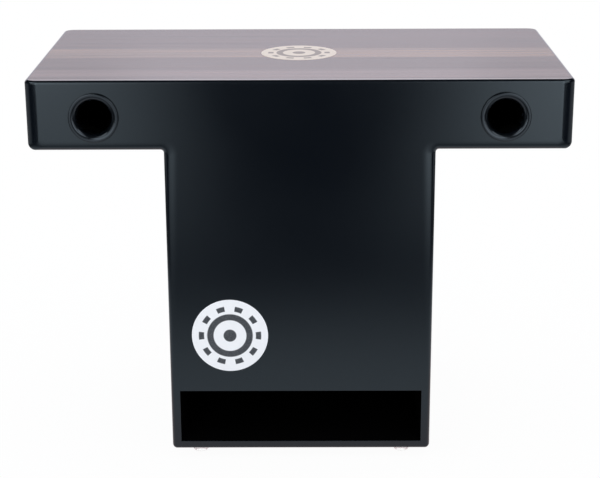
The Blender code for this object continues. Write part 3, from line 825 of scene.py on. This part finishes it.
def makeFloorCard():
    # What the lacquer mirrors below: lit floor near the drum, and a dark lane towards the camera between two
    # lit patches. Light = max(near + patch, side), each a product of ramps over x, y, |x|, |y| and distance.
    finish, tree, surface = newFinish("floorReflection")
    place = addNode(tree, "ShaderNodeTexCoord").outputs["Object"]
    split = addNode(tree, "ShaderNodeSeparateXYZ", links={"Vector": place})
    ahead = addNode(tree, "ShaderNodeVectorMath", links={0: place}, operation="ABSOLUTE")
    sides = addNode(tree, "ShaderNodeSeparateXYZ", links={"Vector": ahead.outputs[0]})
    away = addNode(tree, "ShaderNodeVectorMath", {1: (wingHalf, depthHalf, 0)}, {0: ahead.outputs[0]},
                   operation="SUBTRACT")
    away = addNode(tree, "ShaderNodeVectorMath", {1: (0, 0, 0)}, {0: away.outputs[0]}, operation="MAXIMUM")
    distance = addNode(tree, "ShaderNodeVectorMath", links={0: away.outputs[0]}, operation="LENGTH")
    parts = {"x": split.outputs["X"], "y": split.outputs["Y"], "wide": sides.outputs["X"],
             "long": sides.outputs["Y"], "distance": distance.outputs["Value"]}

    # |x| less spread max(|y| - at, least): lines of equal light splay towards the camera
    for key, at, spread, least in (("laneLine", cards["laneAt"], cards["laneSpread"], -cards["laneAt"]),
                                   ("patchLine", cards["patchAt"], cards["patchSpread"], 0)):
        past = addNode(tree, "ShaderNodeMath", {1: at}, {0: parts["long"]}, operation="SUBTRACT")
        past = addNode(tree, "ShaderNodeMath", {1: least}, {0: past.outputs[0]}, operation="MAXIMUM")
        parts[key] = addNode(tree, "ShaderNodeMath", {1: -spread}, {0: past.outputs[0], 2: parts["wide"]},
                             operation="MULTIPLY_ADD").outputs[0]
    parts["leaning"] = addNode(tree, "ShaderNodeMath", {1: -cards["patchLean"]},
                               {0: parts["x"], 2: parts["patchLine"]}, operation="MULTIPLY_ADD").outputs[0]

    for key, source, start, stop, low, high in (
            ("near", "distance", cards["nearFrom"], cards["nearTo"], cards["nearLight"], cards["dark"]),
            ("nearEnd", "distance", cards["nearTo"], cards["sideTo"], 1, 0),
            ("cool", "distance", cards["tintFrom"], cards["tintTo"], 0, 1),
            ("lane", "laneLine", cards["laneFrom"], cards["laneTo"], 0, 1),
            ("patchEdge", "leaning", cards["patchFrom"], cards["patchTo"], 1, 0),
            ("patchStart", "long", cards["patchStart"], cards["patchFull"], 0, 1),
            ("right", "x", cards["brightFrom"], cards["brightTo"], cards["patchLight"], cards["brightLight"]),
            ("left", "x", -cards["brightTo"], -cards["brightFrom"], cards["faintShare"], 1),
            ("side", "wide", cards["sideFrom"], cards["sideTo"], 0, cards["sideLight"]),
            ("sideEnd", "y", cards["sideGone"], cards["sideEnd"], 0, 1)):
        parts[key] = addNode(tree, "ShaderNodeMapRange",
                             {"From Min": start, "From Max": stop, "To Min": low, "To Max": high},
                             {"Value": parts[source]}, interpolation_type="SMOOTHSTEP").outputs["Result"]
    for key, first, second, operation in (
            ("near", "near", "nearEnd", "MULTIPLY"), ("patch", "lane", "patchEdge", "MULTIPLY"),
            ("patch", "patch", "patchStart", "MULTIPLY"), ("patch", "patch", "right", "MULTIPLY"),
            ("patch", "patch", "left", "MULTIPLY"), ("side", "side", "sideEnd", "MULTIPLY"),
            ("light", "near", "patch", "ADD"), ("light", "light", "side", "MAXIMUM")):
        parts[key] = addNode(tree, "ShaderNodeMath", links={0: parts[first], 1: parts[second]},
                             operation=operation).outputs[0]
    tint = addNode(tree, "ShaderNodeValToRGB", links={"Fac": parts["cool"]})
    setRamp(tint, [(0.0, linear(cards["nearTint"])), (1.0, linear(stage["sky"]))])
    glow = addNode(tree, "ShaderNodeEmission",
                   links={"Color": tint.outputs["Color"], "Strength": parts["light"]})
    tree.links.new(glow.outputs[0], surface)
    half, level = cards["half"], cards["level"]
    addStage("floorCard", spanning(half, (-half, level), (half, level)), [range(4)], finish, True)


def makeCards():
    # What it mirrors above: a front panel that is dim in the middle, dark ceiling and flags, a bright back.
    backY, panelY, base = cards["backY"], cards["panelY"], cards["base"]
    addCard("backReflector", spanning(cards["backHalf"], (backY, base), (backY, cards["backTop"])),
            cards["backTint"], (cards["windowHalf"], cards["windowSoft"]),
            cards["backLight"] + cards["windowLight"], cards["backLight"],
            rise=(cards["windowLow"], cards["windowHigh"]))
    addCard("frontPanel", spanning(cards["panelHalf"], (panelY, base), (panelY, cards["panelTop"])),
            stage["sky"], (cards["gapFrom"], cards["gapTo"]), cards["gapLight"], cards["panelLight"],
            fade=cards["panelFade"])
    front = cards["ceilingFrom"], cards["ceilingHigh"]
    middle = cards["ceilingMiddle"], cards["ceilingHigh"]
    back = cards["ceilingTo"], cards["ceilingLow"]
    addCard("frontCeiling", spanning(cards["ceilingHalf"], front, middle), stage["sky"],
            (cards["ceilingStart"], cards["ceilingFull"]), cards["ceilingDark"], cards["ceilingLight"])
    addCard("backCeiling", spanning(cards["ceilingHalf"], middle, back), stage["sky"], (0, 1),
            cards["ceilingDark"], cards["ceilingDark"])
    for side, name in ((-1, "leftFlag"), (1, "rightFlag")):
        x, top = side * cards["flagX"], cards["flagTop"]
        addCard(name, [(x, panelY, base), (x, backY, base), (x, backY, top), (x, panelY, top)], stage["sky"],
                (0, 1), cards["flagLight"], cards["flagLight"])


makeFloorCard()
makeCards()

view = {"place": (0.0076, -1.5217, 0.6703), "pitch": 17.814, "yaw": -0.316, "roll": -0.25, "lens": 94.05,
        "sensor": 36.0, "farthest": 200.0}


def makeCamera():
    # Axes from pitch down p, yaw w and roll k: forward (sin w cos p, cos w cos p, -sin p), right
    # (cos w, -sin w, 0), then right and up turned by k about forward.
    p, w, k = (math.radians(view[key]) for key in ("pitch", "yaw", "roll"))
    forward = np.array([math.sin(w) * math.cos(p), math.cos(w) * math.cos(p), -math.sin(p)])
    right = np.array([math.cos(w), -math.sin(w), 0])
    up = np.cross(right, forward)
    turn = np.column_stack([math.cos(k) * right + math.sin(k) * up,
                            math.cos(k) * up - math.sin(k) * right, -forward])
    eye = bpy.data.cameras.new("photoCamera")
    eye.lens, eye.sensor_width, eye.sensor_fit = view["lens"], view["sensor"], "HORIZONTAL"
    eye.clip_end = view["farthest"]
    camera = bpy.data.objects.new("photoCamera", eye)
    camera.matrix_world = Matrix.Translation(view["place"]) @ Matrix(turn.tolist()).to_4x4()
    bpy.context.scene.collection.objects.link(camera)
    bpy.context.scene.camera = camera


makeCamera()
bpy.context.scene.view_settings.view_transform = "Standard"
print("stage and camera set")
